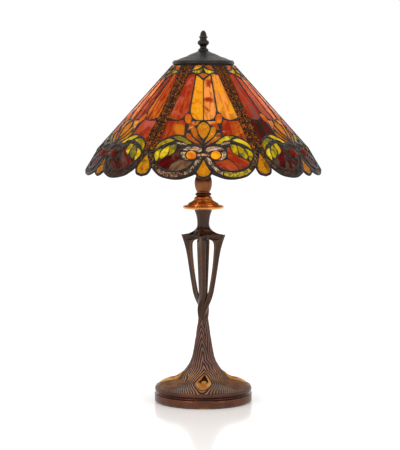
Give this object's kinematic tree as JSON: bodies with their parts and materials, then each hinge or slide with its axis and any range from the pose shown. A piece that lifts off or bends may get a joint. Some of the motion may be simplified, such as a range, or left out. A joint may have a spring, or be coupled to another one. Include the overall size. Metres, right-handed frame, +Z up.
{
  "type": "stained glass table lamp",
  "caption": "Table lamp with a scalloped cone shade of leaded glass on an openwork bronze stem and a round feather-carved base, topped by a heat cap and finial.",
  "frame": {"origin": "centre of the felt pad's underside, on the table top under the lamp's axis", "axes": "+Z up along the rod to the finial, -Y towards the front, +X to the right"},
  "size_m": [0.4562, 0.461, 0.7207],
  "materials": {
    "felt": "pressed felt",
    "bronze": "antique bronze patina on cast zinc alloy, highlights rubbed back to gold",
    "iron": "rough cast",
    "brass": "plain turned",
    "black_rubber": "moulded",
    "copper": "copper plated and polished",
    "copper_brown": "satin copper-brown",
    "dark_bronze": "near-black bronze patina",
    "porcelain": "glazed",
    "black_plastic": "moulded",
    "bulb_glass": "frosted warm white",
    "cap_metal": "rolled thread",
    "filament": "glowing support and filament ring",
    "solder": "copper foil and solder, dark patina",
    "amber_glass": "granular amber art glass",
    "green_glass": "mottled yellow-green art glass",
    "brown_glass": "dark amber ripple glass",
    "flame_glass": "streaky orange and yellow opal",
    "red_glass": "streaky dark red and grey opal",
    "pale_glass": "hammered pale pink-beige glass"
  },
  "bodies": {
    "stand": {"felt_pad": "felt", "base_casting": "bronze", "base_weight": "iron", "base_washer": "brass", "base_nut": "brass", "cord_bush": "black_rubber", "openwork_stem": "bronze", "centre_tube": "dark_bronze", "stem_disc": "copper", "stem_ring": "dark_bronze", "stem_vase": "copper_brown", "cluster_body": "brass", "rod_coupler": "brass", "upper_post": "brass", "seat_nut": "brass", "socket_cups": "brass", "socket_shells": "brass", "socket_sleeves": "porcelain", "screw_shells": "brass", "centre_contacts": "copper"},
    "key_a_body": {"key_a": "black_plastic"},
    "key_b_body": {"key_b": "black_plastic"},
    "bulb_a": {"bulb_a_globe": "bulb_glass", "bulb_a_cap": "cap_metal", "bulb_a_contact": "copper", "bulb_a_filament": "filament"},
    "bulb_b": {"bulb_b_globe": "bulb_glass", "bulb_b_cap": "cap_metal", "bulb_b_contact": "copper", "bulb_b_filament": "filament"},
    "shade_carrier": {"spider_wheel": "brass"},
    "shade": {"crown_ring": "brass", "lead_came": "solder", "crown_leaves_amber": "amber_glass", "crown_leaves_green": "green_glass", "crown_diamonds": "brown_glass", "rib_glass": "brown_glass", "strip_glass": "flame_glass", "oval_gems": "amber_glass", "field_glass": "flame_glass", "wedge_glass": "amber_glass", "petal_glass": "flame_glass", "leaf_glass": "green_glass", "lobe_glass": "red_glass", "band_glass": "pale_glass", "jewels": "amber_glass", "twist_bars": "pale_glass", "border_glass": "pale_glass", "tongue_glass": "amber_glass"},
    "cap": {"heat_cap": "dark_bronze"},
    "finial_body": {"finial": "dark_bronze", "finial_screw": "brass"}
  },
  "joints": [
    {"name": "key_a_turn", "type": "hinge", "parent": "stand", "child": "key_a_body", "pos_m": [0.03414, -0.02, 0.48975], "axis": [0, -1, 0], "continuous": true},
    {"name": "key_b_turn", "type": "hinge", "parent": "stand", "child": "key_b_body", "pos_m": [-0.03414, 0.02, 0.48975], "axis": [0, 1, 0], "continuous": true},
    {"name": "bulb_a_out", "type": "slide", "parent": "stand", "child": "bulb_a", "axis": [0.4226, 0, 0.9063], "range_m": [0, 0.03]},
    {"name": "bulb_b_out", "type": "slide", "parent": "stand", "child": "bulb_b", "axis": [-0.4226, 0, 0.9063], "range_m": [0, 0.03]},
    {"name": "shade_lift", "type": "slide", "parent": "stand", "child": "shade_carrier", "axis": [0, 0, 1], "range_m": [0, 0.27]},
    {"name": "shade_swivel", "type": "hinge", "parent": "shade_carrier", "child": "shade", "pos_m": [0, 0, 0.647], "axis": [0, 0, 1], "continuous": true},
    {"name": "cap_lift", "type": "slide", "parent": "shade_carrier", "child": "cap", "axis": [0, 0, 1], "range_m": [0, 0.06]},
    {"name": "finial_out", "type": "slide", "parent": "cap", "child": "finial_body", "axis": [0, 0, 1], "range_m": [0, 0.04]}
  ]
}
